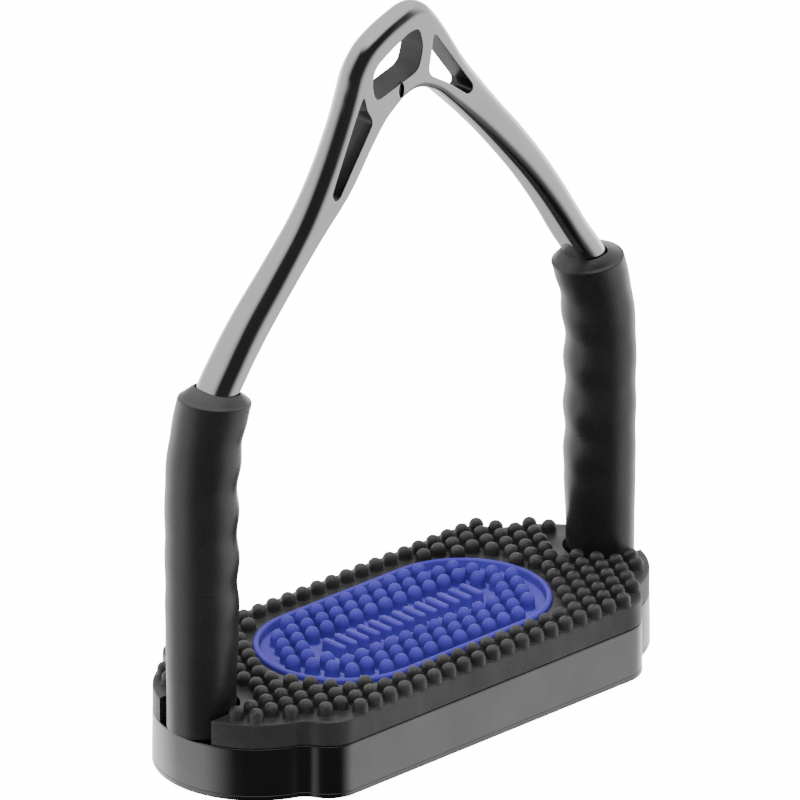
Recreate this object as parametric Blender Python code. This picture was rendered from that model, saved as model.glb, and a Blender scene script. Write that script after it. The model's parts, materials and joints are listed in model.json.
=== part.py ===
"""Jointed stirrup iron: one named object for each physical piece.

Lengths in this file are millimetres and turn into metres when a mesh is made.
X runs along the tread, -Y is its front edge and Z is up, with the ground at Z = 0.
"""
from math import atan2, copysign, cos, hypot, pi, radians, sin, sqrt

import bmesh
import bpy
from mathutils import Matrix

MM = 0.001
FIT = 0.3            # gap between pieces that touch
RUN = 0.12           # radial gap of a pin in the eye that turns on it
SEAM = 0.05          # hairline between the base plate, the frame and the pad's foot
OVERLAP = 0.5        # how far a joined part runs into the part that it grows from
THROUGH = 40.0       # length that takes a cutter right out of any piece

# Tread outline at the ground: a straight-edged body with a round lobe at each end
BODY_HALF_WIDTH = 33.2
LOBE_X = 51.1
LOBE_RADIUS = 26.4
CORNER_X = 48.7
CORNER_RADIUS = 9.5
STEP_RADIUS = 6.0    # hollow between the body's corner and the lobe

# Heights
BASE_TOP = 1.5
FRAME_TOP = 14.2
DECK_THICKNESS = 3.0
PAD_TOP = 21.0
DRAFT = 0.2          # how much narrower the frame is at its top than at the ground
PLATE_THICKNESS = 1.2
PLATE_HALF_LENGTH = 44.0
PLATE_HALF_WIDTH = 26.0

# Insert: a stadium let into the pad
INSERT_HALF_STRAIGHT = 20.8
INSERT_RADIUS = 23.0
INSERT_FLOOR = 19.9
INSERT_RIM = 1.6
RIM_TOP = 22.4
INSERT_BOTTOM = 17.2
BAND_HALF_LENGTH = 29.0
BAND_HALF_WIDTH = 6.0

# Studs stand on a lattice of rows along X, every other row shifted by half a pitch
STUD_PITCH = 5.12
STUD_ROW = 4.55
STUD_RADIUS = 1.95
STUD_TIP_RADIUS = 1.2
PAD_STUD_HEIGHT = 3.4
INSERT_STUD_HEIGHT = 4.4
PAD_FIRST_ROW = -31.0
PAD_ROWS = 14
PAD_PHASE = 1.7
INSERT_FIRST_ROW = -18.4
INSERT_ROWS = 9
INSERT_PHASE = 2.3
INSERT_STUD_MARGIN = 2.4   # from a stud's middle to the inside of the rim
LATTICE_COLUMNS = 15       # on each side of the middle, enough for the longest row
BAR_COUNT = 8
BAR_HALF_WIDTH = 2.1
BAR_HALF_LENGTH = 3.9
BAR_TOP = 22.9

# Branches
BRANCH_X = 69.6
SLEEVE_RADIUS = 9.25
SLEEVE_BORE = 7.1
SLEEVE_BOTTOM = 14.7
SLEEVE_BEND_Z = 76.3
SLEEVE_BEND_RADIUS = 76.0
SLEEVE_BEND = radians(20.5)
GRIP_WAVE = 0.55     # depth of the finger waves
GRIP_PITCH = 13.1
GRIP_CREST_Z = 60.8
GRIP_START_Z = 38.8
GRIP_RISE = 14.0     # length over which the waves grow from nothing
GRIP_FALL = 8.0      # length over which they fade below the sleeve's top
GRIP_TOP_MARGIN = 2.0
NOTCH_RADIUS = 9.85  # where the pad is cut away around the sleeve
RING_TILT = 0.37     # share of the sleeve's lean that its closed upper end takes
LIP = 2.5            # thickness of the sleeve's closed upper end
LIP_HALF_X = 6.3
LIP_HALF_Y = 6.5
LIP_POWER = 2.8

# Joint axes
TILT_Z = 24.8
LOWER_SWAY_Z = 36.8
UPPER_SWAY_Z = 74.8
PIN_RADIUS = 2.0
BUSH_RADIUS = 3.0
PRESS = 0.02         # radial gap of a pressed-in pin or bush
EYE_RADIUS = 4.4
TONGUE_HALF = 2.8
CHEEK_INNER = 3.1
CHEEK_OUTER = 6.0    # on the tilt axis; the sway cheeks are a little narrower
SWAY_CHEEK_OUTER = 5.6
BOW_CHEEK_OUTER = 5.5
CHEEK_RADIUS = 3.6
BOW_CHEEK_RADIUS = 3.5
PIN_EDGE = 0.4       # bevel on a pin's ends
THREAD_RADIUS = 2.0

HEAD_HALF_THICKNESS = 3.9

# Bow: matching points on its outer and inner edges, left end to right end,
# with half the thickness there and the radius of the section's corners
BOW_STATIONS = [
    ((-73.3, 84.0), (-65.5, 83.6), 5.8, 2.5),
    ((-71.7, 93.7), (-63.9, 91.9), 5.8, 3.6),
    ((-68.4, 104.6), (-61.2, 101.4), 5.8, 3.7),
    ((-63.1, 112.8), (-56.9, 107.9), 5.7, 3.7),
    ((-56.0, 122.0), (-50.1, 116.2), 5.4, 3.7),
    ((-46.5, 132.3), (-40.7, 126.2), 5.0, 3.6),
    ((-37.3, 142.8), (-30.8, 136.3), 4.5, 3.2),
    ((-30.2, 153.9), (-20.9, 146.2), 4.1, 2.4),
    ((-24.6, 165.3), (-13.2, 157.0), HEAD_HALF_THICKNESS, 1.8),
    ((-21.7, 172.7), (-8.9, 162.3), HEAD_HALF_THICKNESS, 1.8),
    ((-19.4, 178.6), (-5.5, 165.1), HEAD_HALF_THICKNESS, 1.8),
    ((-15.2, 183.8), (-3.0, 166.8), HEAD_HALF_THICKNESS, 1.8),
    ((-9.6, 187.2), (-0.8, 167.7), HEAD_HALF_THICKNESS, 1.8),
    ((-4.2, 189.4), (1.0, 168.1), HEAD_HALF_THICKNESS, 1.8),
    ((0.6, 190.8), (2.6, 168.1), HEAD_HALF_THICKNESS, 1.8),
    ((4.6, 190.4), (4.2, 167.8), HEAD_HALF_THICKNESS, 1.8),
    ((7.8, 188.0), (6.2, 167.0), HEAD_HALF_THICKNESS, 1.8),
    ((12.0, 182.5), (9.9, 164.9), HEAD_HALF_THICKNESS, 1.8),
    ((18.8, 172.3), (13.6, 161.6), HEAD_HALF_THICKNESS, 1.8),
    ((25.4, 163.9), (18.6, 156.7), HEAD_HALF_THICKNESS, 2.2),
    ((32.2, 155.6), (25.2, 149.8), 4.1, 2.8),
    ((38.0, 148.8), (31.4, 142.8), 4.4, 3.2),
    ((44.8, 140.2), (38.2, 134.8), 4.8, 3.5),
    ((50.6, 132.1), (43.8, 127.6), 5.1, 3.6),
    ((55.9, 123.9), (49.2, 119.9), 5.4, 3.7),
    ((60.9, 115.7), (54.4, 111.9), 5.7, 3.7),
    ((68.4, 104.6), (61.2, 101.4), 5.8, 3.7),
    ((71.7, 93.7), (63.9, 91.9), 5.8, 3.6),
    ((73.3, 84.0), (65.5, 83.6), 5.8, 2.5),
]
LEATHER_SLOT = [(-13.2, 169.0), (1.6, 173.5), (3.3, 179.4), (1.9, 184.7), (-1.4, 184.6),
                (-7.2, 181.8), (-13.1, 178.4), (-14.4, 174.2)]
LEFT_WINDOW = [(-17.1, 172.0), (-18.9, 168.5), (-21.6, 162.6), (-24.6, 156.2), (-28.4, 148.0),
               (-27.3, 146.3), (-25.7, 146.8), (-16.1, 160.5), (-14.2, 163.4), (-14.6, 165.1),
               (-16.3, 167.8)]
RIGHT_WINDOW = [(6.9, 182.4), (6.0, 176.3), (5.1, 171.3), (12.2, 167.0), (18.7, 162.0),
                (20.5, 162.7), (20.4, 164.4), (13.6, 173.4)]
MARK_CENTRE = (-4.3, 169.7)
MARK_HALF_LENGTH = 0.9
MARK_HALF_HEIGHT = 2.0
MARK_DEPTH = 0.6
CHEEK_REACH = 84.3   # where the fork cheeks run into the bow's legs

# Hollow cells under the frame's deck: centre and half size
CELLS = [(x, y, 9.0) for x in (-40.0, -20.0, 0.0, 20.0, 40.0) for y in (-20.0, 0.0, 20.0)]
CELLS += [(x, y, 7.0) for x in (-60.0, 60.0) for y in (-14.0, 14.0)]
CELL_CORNER = 5.5    # how much is cut off each corner, which leaves a boss for a screw
PAD_SCREWS = [(x, y) for x in (-30.0, 30.0) for y in (-10.0, 10.0)]
BASE_SCREWS = [(-50.0, -10.0), (-50.0, 10.0), (-10.0, 10.0), (10.0, -10.0), (50.0, -10.0),
               (50.0, 10.0)]
SCREW_RADIUS = 1.6
SCREW_HOLE_RADIUS = 1.8
PAD_SCREW_HEAD_RADIUS = 3.6
BASE_SCREW_HEAD_RADIUS = 2.8
BASE_SCREW_HEAD_TOP = 1.1
BASE_SCREW_TOP = 7.4

ROUND = 24           # sides of a turned part
COARSE = 16          # sides of a hidden screw or hole


# ---------- small helpers ----------

def clear_scene():
    for item in list(bpy.data.objects):
        bpy.data.objects.remove(item, do_unlink=True)


def material(name, colour, metallic, roughness):
    mat = bpy.data.materials.get(name)
    if mat:
        return mat
    mat = bpy.data.materials.new(name)
    mat.use_nodes = True
    shader = mat.node_tree.nodes["Principled BSDF"]
    shader.inputs["Base Color"].default_value = (*colour, 1.0)
    shader.inputs["Metallic"].default_value = metallic
    shader.inputs["Roughness"].default_value = roughness
    mat.diffuse_color = (*colour, 1.0)
    return mat


def dark_chrome():
    return material("dark_chrome", (0.12, 0.12, 0.125), 1.0, 0.16)


def pin_steel():
    return material("pin_steel", (0.55, 0.55, 0.56), 1.0, 0.3)


def black_rubber():
    return material("black_rubber", (0.018, 0.018, 0.019), 0.0, 0.5)


def blue_rubber():
    return material("blue_rubber", (0.03, 0.04, 0.42), 0.0, 0.42)


def add_object(name, mesh, mat, origin=(0.0, 0.0, 0.0), smooth=False):
    """Turn a bmesh in millimetres into an object whose origin is at the given point."""
    bmesh.ops.recalc_face_normals(mesh, faces=mesh.faces)
    mesh.transform(Matrix.Scale(MM, 4) @ Matrix.Translation([-value for value in origin]))
    data = bpy.data.meshes.new(name)
    mesh.to_mesh(data)
    mesh.free()
    for polygon in data.polygons:
        polygon.use_smooth = smooth
    item = bpy.data.objects.new(name, data)
    item.location = [value * MM for value in origin]
    data.materials.append(mat)
    bpy.context.collection.objects.link(item)
    return item


def boolean(target, name, mesh, operation="DIFFERENCE"):
    """Cut or join a hidden tool mesh, given in millimetres, into the target."""
    tool = add_object(name, mesh, dark_chrome())
    tool.hide_render = True
    tool.display_type = "WIRE"
    step = target.modifiers.new(name, "BOOLEAN")
    step.operation = operation
    step.solver = "EXACT"
    step.object = tool


def add_rings(mesh, rings, closed=False):
    """Skin a list of equal rings of points, with flat caps unless the rings close up."""
    loops = [[mesh.verts.new(point) for point in ring] for ring in rings]
    pairs = list(zip(loops, loops[1:]))
    if closed:
        pairs.append((loops[-1], loops[0]))
    for first, second in pairs:
        for i in range(len(first)):
            j = (i + 1) % len(first)
            mesh.faces.new((first[i], first[j], second[j], second[i]))
    if not closed:
        mesh.faces.new(loops[0][::-1])
        mesh.faces.new(loops[-1])
    return loops


def place(axis, along, a, b):
    """A point at distance along the axis, with a and b across it."""
    if axis == "X":
        return (along, a, b)
    if axis == "Y":
        return (a, along, b)
    return (a, b, along)


def turned(axis, centre, profile, sides=ROUND):
    """A solid of revolution: profile is a list of (distance along the axis, radius)."""
    mesh = bmesh.new()
    add_turned(mesh, axis, centre, profile, sides)
    return mesh


def add_turned(mesh, axis, centre, profile, sides=ROUND):
    rings = []
    for along, radius in profile:
        ring = []
        for i in range(sides):
            turn = 2.0 * pi * i / sides
            local = place(axis, along, radius * cos(turn), radius * sin(turn))
            ring.append([c + v for c, v in zip(centre, local)])
        rings.append(ring)
    add_rings(mesh, rings)


def add_prism(mesh, axis, outline, low, high):
    """A straight prism: outline holds (a, b) points across the axis."""
    add_rings(mesh, [[place(axis, level, a, b) for a, b in outline] for level in (low, high)])


def prism(axis, outline, low, high):
    mesh = bmesh.new()
    add_prism(mesh, axis, outline, low, high)
    return mesh


def box_outline(a_low, a_high, b_low, b_high):
    return [(a_low, b_low), (a_high, b_low), (a_high, b_high), (a_low, b_high)]


def arc(centre, radius, start, end, steps):
    """Points along an arc, both ends included; angles in radians."""
    points = []
    for i in range(steps + 1):
        turn = start + (end - start) * i / steps
        points.append((centre[0] + radius * cos(turn), centre[1] + radius * sin(turn)))
    return points


def spline(points, steps):
    """Catmull-Rom curve through the points, which may have any number of values each."""
    padded = [points[0]] + list(points) + [points[-1]]
    curve = []
    for p0, p1, p2, p3 in zip(padded, padded[1:], padded[2:], padded[3:]):
        for k in range(steps):
            t = k / steps
            curve.append([0.5 * (2 * b + (c - a) * t + (2 * a - 5 * b + 4 * c - d) * t * t
                                 + (3 * b - a - 3 * c + d) * t ** 3)
                          for a, b, c, d in zip(p0, p1, p2, p3)])
    curve.append(list(points[-1]))
    return curve


# ---------- tread outline ----------

def step_centre():
    """Centre of the hollow that touches both the corner arc and the lobe from outside."""
    corner = (CORNER_X, -BODY_HALF_WIDTH + CORNER_RADIUS)
    gap_x = corner[0] - LOBE_X
    gap_y = corner[1]
    gap = hypot(gap_x, gap_y)
    from_lobe = LOBE_RADIUS + STEP_RADIUS
    from_corner = CORNER_RADIUS + STEP_RADIUS
    along = (gap ** 2 + from_lobe ** 2 - from_corner ** 2) / (2.0 * gap)
    across = sqrt(from_lobe ** 2 - along ** 2)
    unit = (gap_x / gap, gap_y / gap)
    return (LOBE_X + unit[0] * along - unit[1] * across, unit[1] * along + unit[0] * across)


def front_edge(inset):
    """Front half of the right side, from the middle of the front edge to the right tip."""
    corner = (CORNER_X, -BODY_HALF_WIDTH + CORNER_RADIUS)
    hollow = step_centre()
    to_hollow = atan2(hollow[1] - corner[1], hollow[0] - corner[0])
    lobe_start = atan2(hollow[1], hollow[0] - LOBE_X)
    hollow_start = to_hollow + pi
    hollow_end = lobe_start + pi
    points = [(18.0, -BODY_HALF_WIDTH + inset)]
    points += arc(corner, CORNER_RADIUS - inset, -pi / 2.0, to_hollow, 5)
    points += arc(hollow, STEP_RADIUS + inset, hollow_start, hollow_end, 3)[1:-1]
    points += arc((LOBE_X, 0.0), LOBE_RADIUS - inset, lobe_start, 0.0, 9)
    return points


def tread_loop(inset):
    """Whole outline, counter-clockwise from the left tip along the front edge."""
    right = front_edge(inset)
    front = [(-x, y) for x, y in reversed(right)] + right
    back = [(x, -y) for x, y in reversed(front[1:-1])]
    return front + back


def tread_solid(levels):
    """Solid between levels of (inset, height), with caps made of straight strips."""
    mesh = bmesh.new()
    loops = []
    for inset, height in levels:
        loops.append([mesh.verts.new((x, y, height)) for x, y in tread_loop(inset)])
    count = len(loops[0])
    for low, high in zip(loops, loops[1:]):
        for i in range(count):
            j = (i + 1) % count
            mesh.faces.new((low[i], low[j], high[j], high[i]))
    for loop in (loops[0], loops[-1]):
        for i in range(count // 2):
            strip = [loop[i], loop[i + 1], loop[-i - 1], loop[-i]]
            if i == 0:
                strip = [loop[0], loop[1], loop[-1]]
            if i == count // 2 - 1:
                strip = [loop[i], loop[i + 1], loop[-i]]
            mesh.faces.new(strip)
    return mesh


def stadium(radius, half_straight=INSERT_HALF_STRAIGHT, steps=12):
    right = arc((half_straight, 0.0), radius, -pi / 2.0, pi / 2.0, steps)
    left = arc((-half_straight, 0.0), radius, pi / 2.0, 3.0 * pi / 2.0, steps)
    return right + left


def depth_in_insert(x, y):
    return INSERT_RADIUS - hypot(max(abs(x) - INSERT_HALF_STRAIGHT, 0.0), y)


def depth_in_tread(x, y):
    """How far a point lies inside the tread's outline; negative outside it."""
    lobe = LOBE_RADIUS - hypot(abs(x) - LOBE_X, y)
    over_x = max(abs(x) - CORNER_X, 0.0)
    over_y = max(abs(y) - BODY_HALF_WIDTH + CORNER_RADIUS, 0.0)
    return max(lobe, CORNER_RADIUS - hypot(over_x, over_y))


# ---------- studs ----------

def lattice(first_row, phase, rows):
    """Stud places; the half nearer the back edge mirrors the shift of the front half."""
    for row in range(rows):
        mirrored = min(row, rows - 1 - row)
        shift = phase - STUD_PITCH / 2.0 * (mirrored % 2)
        for column in range(-LATTICE_COLUMNS, LATTICE_COLUMNS + 1):
            yield column * STUD_PITCH + shift, first_row + row * STUD_ROW


def pad_stud_fits(x, y):
    """A stud keeps clear of the tread's edge, the insert and the sleeve's notch."""
    from_sleeve = hypot(max(BRANCH_X - abs(x), 0.0), y) - NOTCH_RADIUS
    return (depth_in_tread(x, y) > STUD_RADIUS + DRAFT + SEAM
            and depth_in_insert(x, y) < -STUD_RADIUS
            and from_sleeve > STUD_RADIUS + RUN)


def add_stud(mesh, x, y, base, height):
    rings = []
    for z, radius in ((base - OVERLAP, STUD_RADIUS), (base + height, STUD_TIP_RADIUS)):
        rings.append([(a, b, z) for a, b in arc((x, y), radius, 0.0, 2.0 * pi, 6)[:-1]])
    add_rings(mesh, rings)


def band_places():
    """Middles of the plain bars across the insert's band."""
    pitch = 2.0 * (BAND_HALF_LENGTH - 3.0) / BAR_COUNT
    return [(number - (BAR_COUNT - 1) / 2.0) * pitch for number in range(BAR_COUNT)]


# ---------- tread ----------

def make_base_plate():
    chamfer = 0.4
    solid = tread_solid([(chamfer, 0.0), (0.0, chamfer), (0.0, BASE_TOP)])
    plate = add_object("base_plate", solid, dark_chrome())
    holes = bmesh.new()
    for x, y in BASE_SCREWS:
        sink = [(-1.0, BASE_SCREW_HEAD_RADIUS + FIT), (0.0, BASE_SCREW_HEAD_RADIUS + FIT),
                (1.0, SCREW_RADIUS + FIT), (2.0 * BASE_TOP, SCREW_RADIUS + FIT)]
        add_turned(holes, "Z", (x, y, 0.0), sink, COARSE)
    boolean(plate, "base_plate_holes", holes)


def make_frame():
    solid = tread_solid([(0.0, BASE_TOP + SEAM), (DRAFT, FRAME_TOP)])
    frame = add_object("tread_frame", solid, dark_chrome())
    cells = bmesh.new()
    for x, y, half in CELLS:
        add_prism(cells, "Z", cell_outline(x, y, half), 0.0, FRAME_TOP - DECK_THICKNESS)
    boolean(frame, "frame_cells", cells)
    holes = bmesh.new()
    for x, y in PAD_SCREWS:
        sink = [(0.0, 4.0), (8.0, 4.0), (8.0, 2.3), (THROUGH, 2.3)]
        add_turned(holes, "Z", (x, y, 0.0), sink, COARSE)
    for x, y in BASE_SCREWS:
        bore = [(0.0, SCREW_HOLE_RADIUS), (8.0, SCREW_HOLE_RADIUS)]
        add_turned(holes, "Z", (x, y, 0.0), bore, COARSE)
    for side in (-1, 1):
        sink = [(0.0, 5.2), (4.5, 5.2), (7.0, 2.8), (THROUGH, 2.8)]
        add_turned(holes, "Z", (side * BRANCH_X, 0.0, 0.0), sink, COARSE)
    boolean(frame, "frame_holes", holes)


def cell_outline(x, y, half):
    """Square with its corners cut off, round the point (x, y)."""
    reach = half - CELL_CORNER
    corners = [(half, -reach), (half, reach), (reach, half), (-reach, half),
               (-half, reach), (-half, -reach), (-reach, -half), (reach, -half)]
    return [(x + a, y + b) for a, b in corners]


def make_pad():
    edge = DRAFT + SEAM
    turn_over = 0.5
    solid = tread_solid([(edge, FRAME_TOP + FIT), (edge, PAD_TOP - turn_over),
                         (edge + turn_over, PAD_TOP)])
    pad = add_object("tread_pad", solid, black_rubber())
    studs = bmesh.new()
    for x, y in lattice(PAD_FIRST_ROW, PAD_PHASE, PAD_ROWS):
        if pad_stud_fits(x, y):
            add_stud(studs, x, y, PAD_TOP, PAD_STUD_HEIGHT)
    boolean(pad, "pad_studs", studs, "UNION")
    cutouts = bmesh.new()
    for side in (-1, 1):
        turn = pi / 2.0 if side > 0 else -pi / 2.0
        outline = arc((side * BRANCH_X, 0.0), NOTCH_RADIUS, turn, turn + pi, 12)
        outline.append((side * (BRANCH_X + THROUGH), -side * NOTCH_RADIUS))
        outline.append((side * (BRANCH_X + THROUGH), side * NOTCH_RADIUS))
        add_prism(cutouts, "Z", outline, 0.0, THROUGH)
    boolean(pad, "pad_cutouts", cutouts)
    recess = prism("Z", stadium(INSERT_RADIUS + FIT), INSERT_BOTTOM - FIT, THROUGH)
    boolean(pad, "pad_recess", recess)
    pocket = prism("Z", plate_outline(FIT), 0.0, FRAME_TOP + FIT + PLATE_THICKNESS + FIT)
    boolean(pad, "pad_pocket", pocket)


def plate_outline(grow):
    half_length = PLATE_HALF_LENGTH + grow
    half_width = PLATE_HALF_WIDTH + grow
    return box_outline(-half_length, half_length, -half_width, half_width)


def make_pad_plate():
    low = FRAME_TOP + FIT
    plate = add_object("pad_plate", prism("Z", plate_outline(0.0), low, low + PLATE_THICKNESS),
                       pin_steel())
    holes = bmesh.new()
    for x, y in PAD_SCREWS:
        bore = [(0.0, SCREW_HOLE_RADIUS), (THROUGH, SCREW_HOLE_RADIUS)]
        add_turned(holes, "Z", (x, y, 0.0), bore, COARSE)
    boolean(plate, "pad_plate_holes", holes)


def make_insert():
    insert = add_object("pad_insert", prism("Z", stadium(INSERT_RADIUS), INSERT_BOTTOM, RIM_TOP),
                        blue_rubber())
    floor = prism("Z", stadium(INSERT_RADIUS - INSERT_RIM), INSERT_FLOOR, THROUGH)
    boolean(insert, "insert_floor", floor)
    studs = bmesh.new()
    for x, y in lattice(INSERT_FIRST_ROW, INSERT_PHASE, INSERT_ROWS):
        in_band = abs(x) < BAND_HALF_LENGTH and abs(y) < BAND_HALF_WIDTH
        if depth_in_insert(x, y) > INSERT_RIM + INSERT_STUD_MARGIN and not in_band:
            add_stud(studs, x, y, INSERT_FLOOR, INSERT_STUD_HEIGHT)
    boolean(insert, "insert_studs", studs, "UNION")
    bars = bmesh.new()
    for x in band_places():
        outline = box_outline(x - BAR_HALF_WIDTH, x + BAR_HALF_WIDTH, -BAR_HALF_LENGTH,
                              BAR_HALF_LENGTH)
        add_prism(bars, "Z", outline, INSERT_FLOOR - OVERLAP, BAR_TOP)
    boolean(insert, "insert_bars", bars, "UNION")


def make_screws(name, places, profile):
    for number, (x, y) in enumerate(places, start=1):
        screw = turned("Z", (x, y, 0.0), profile, 12)
        add_object("%s_%d" % (name, number), screw, pin_steel())


def make_tread_screws():
    top = FRAME_TOP + PLATE_THICKNESS
    make_screws("pad_screw", PAD_SCREWS,
                [(5.0, PAD_SCREW_HEAD_RADIUS), (8.0 - FIT, PAD_SCREW_HEAD_RADIUS),
                 (8.0 - FIT, SCREW_RADIUS), (top, SCREW_RADIUS)])
    make_screws("base_screw", BASE_SCREWS,
                [(0.1, BASE_SCREW_HEAD_RADIUS), (BASE_SCREW_HEAD_TOP, SCREW_RADIUS),
                 (BASE_SCREW_TOP, SCREW_RADIUS)])


# ---------- branches ----------

def eye_outline(centre, radius, reach):
    """Round eye with straight sides that run on to the level given by reach."""
    upwards = reach > centre[1]
    start = pi if upwards else 0.0
    outline = arc(centre, radius, start, start + pi, 12)
    last = outline[-1]
    first = outline[0]
    return outline + [(last[0], reach), (first[0], reach)]


def x_plate(mesh, x, half, centre_z, reach, radius=EYE_RADIUS):
    """Eye plate square to X, standing in the YZ plane."""
    add_prism(mesh, "X", eye_outline((0.0, centre_z), radius, reach), x - half, x + half)


def make_post(side, name):
    x = side * BRANCH_X
    bottom = FRAME_TOP + FIT
    flange_top = bottom + 5.0
    origin = (x, 0.0, TILT_Z)
    profile = [(bottom, SLEEVE_BORE - FIT), (flange_top, SLEEVE_BORE - FIT)]
    post = add_object(name + "_post", turned("Z", (x, 0.0, 0.0), profile), dark_chrome(), origin)
    thickness = (CHEEK_OUTER - CHEEK_INNER) / 2.0
    for hand in (-1, 1):
        cheek = bmesh.new()
        middle = x + hand * (CHEEK_INNER + thickness)
        x_plate(cheek, middle, thickness, TILT_Z, flange_top - OVERLAP, CHEEK_RADIUS)
        boolean(post, "%s_post_cheek_%d" % (name, hand), cheek, "UNION")
    boolean(post, name + "_post_bore", eye_bore("X", (x, 0.0, TILT_Z), PIN_RADIUS + PRESS))
    bore = [(0.0, THREAD_RADIUS + 0.2), (flange_top - 1.0, THREAD_RADIUS + 0.2)]
    thread = turned("Z", (x, 0.0, 0.0), bore, COARSE)
    boolean(post, name + "_post_thread", thread)


def make_post_screw(side, name):
    profile = [(2.2, 4.8), (4.6, 4.8), (7.4, THREAD_RADIUS), (15.6, THREAD_RADIUS)]
    screw = turned("Z", (side * BRANCH_X, 0.0, 0.0), profile, COARSE)
    add_object(name + "_post_screw", screw, pin_steel())


def make_pin(name, axis, centre, half_length):
    profile = [(-half_length, PIN_RADIUS - PIN_EDGE), (-half_length + PIN_EDGE, PIN_RADIUS),
               (half_length - PIN_EDGE, PIN_RADIUS), (half_length, PIN_RADIUS - PIN_EDGE)]
    add_object(name, turned(axis, centre, profile), pin_steel(), centre, True)


def eye_bore(axis, centre, radius):
    """Cutter for a bore right through an eye or a pair of cheeks."""
    return turned(axis, centre, [(-THROUGH / 2.0, radius), (THROUGH / 2.0, radius)])


def make_bush(side, name):
    """Thin bush between the upper sway pin and the eye of the link."""
    centre = (side * BRANCH_X, 0.0, UPPER_SWAY_Z)
    solid = turned("Y", centre, [(-TONGUE_HALF, BUSH_RADIUS), (TONGUE_HALF, BUSH_RADIUS)])
    bush = add_object(name + "_upper_bush", solid, pin_steel(), centre)
    boolean(bush, name + "_bush_bore", eye_bore("Y", centre, PIN_RADIUS + RUN))


def make_knuckle(side, name):
    x = side * BRANCH_X
    lower = (x, 0.0, TILT_Z)
    upper = (x, 0.0, LOWER_SWAY_Z)
    tongue = bmesh.new()
    x_plate(tongue, x, TONGUE_HALF, TILT_Z, LOWER_SWAY_Z - 6.5)
    knuckle = add_object(name + "_knuckle", tongue, dark_chrome(), lower)
    block_low = LOWER_SWAY_Z - 7.0
    block_high = LOWER_SWAY_Z - 4.9
    block = turned("Z", (x, 0.0, 0.0), [(block_low, 6.2), (block_high, 6.2)])
    boolean(knuckle, name + "_knuckle_block", block, "UNION")
    for hand in (-1, 1):
        levels = sorted((hand * CHEEK_INNER, hand * SWAY_CHEEK_OUTER))
        outline = eye_outline((x, LOWER_SWAY_Z), CHEEK_RADIUS, block_high - OVERLAP)
        cheek = prism("Y", outline, *levels)
        boolean(knuckle, "%s_knuckle_cheek_%d" % (name, hand), cheek, "UNION")
    boolean(knuckle, name + "_knuckle_tilt_bore", eye_bore("X", lower, PIN_RADIUS + RUN))
    boolean(knuckle, name + "_knuckle_sway_bore", eye_bore("Y", upper, PIN_RADIUS + PRESS))


def make_link(side, name):
    x = side * BRANCH_X
    lower = (x, 0.0, LOWER_SWAY_Z)
    upper = (x, 0.0, UPPER_SWAY_Z)
    foot = LOWER_SWAY_Z + 6.0
    head = UPPER_SWAY_Z - 6.0
    half = TONGUE_HALF
    eye = prism("Y", eye_outline((x, LOWER_SWAY_Z), EYE_RADIUS, foot + OVERLAP), -half, half)
    link = add_object(name + "_link", eye, dark_chrome(), lower)
    shaft = turned("Z", (x, 0.0, 0.0), [(foot, 4.2), (foot + 1.0, 5.0), (head - 1.0, 5.0),
                                        (head, 4.2)])
    boolean(link, name + "_link_shaft", shaft, "UNION")
    top = prism("Y", eye_outline((x, UPPER_SWAY_Z), EYE_RADIUS, head - OVERLAP), -half, half)
    boolean(link, name + "_link_top", top, "UNION")
    seat = BUSH_RADIUS + (PRESS if side < 0 else 2.0 * RUN)
    boolean(link, name + "_link_lower_bore", eye_bore("Y", lower, PIN_RADIUS + RUN))
    boolean(link, name + "_link_upper_bore", eye_bore("Y", upper, seat))


def sleeve_axis(height):
    """Point and lean of the sleeve's centre line at an arc length from the bottom."""
    straight = SLEEVE_BEND_Z - SLEEVE_BOTTOM
    if height <= straight:
        return BRANCH_X, SLEEVE_BOTTOM + height, 0.0
    lean = (height - straight) / SLEEVE_BEND_RADIUS
    return (BRANCH_X - SLEEVE_BEND_RADIUS * (1.0 - cos(lean)),
            SLEEVE_BEND_Z + SLEEVE_BEND_RADIUS * sin(lean), lean)


def squared(value, power):
    """Cosine or sine bent towards a rounded rectangle; a power of 2 leaves a circle."""
    return copysign(abs(value) ** (2.0 / power), value)


def sleeve_ring(side, height, radius_x, radius_y, waves=0.0, power=2.0):
    """Ring of the sleeve; the finger waves are deepest on the side facing the foot."""
    x, z, lean = sleeve_axis(height)
    tilt = RING_TILT * lean
    reach = radius_x / cos(lean - tilt)
    ring = []
    for i in range(ROUND):
        turn = 2.0 * pi * i / ROUND
        inner_share = 0.5 * (1.0 + cos(turn))
        out = 1.0 + waves * inner_share / radius_x
        a = -reach * out * squared(cos(turn), power)
        b = -radius_y * out * squared(sin(turn), power)
        ring.append((side * (x + a * cos(tilt)), b, z + a * sin(tilt)))
    return ring


def wave_at(height):
    """Depth of the finger waves, which fade out towards both ends of the sleeve."""
    z = SLEEVE_BOTTOM + height
    top = SLEEVE_BOTTOM + sleeve_length() - GRIP_TOP_MARGIN
    rise = min(max((z - GRIP_START_Z) / GRIP_RISE, 0.0), 1.0)
    fall = min(max((top - z) / GRIP_FALL, 0.0), 1.0)
    return GRIP_WAVE * rise * fall * cos(2.0 * pi * (z - GRIP_CREST_Z) / GRIP_PITCH)


def sleeve_length():
    return SLEEVE_BEND_Z - SLEEVE_BOTTOM + SLEEVE_BEND * SLEEVE_BEND_RADIUS


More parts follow.
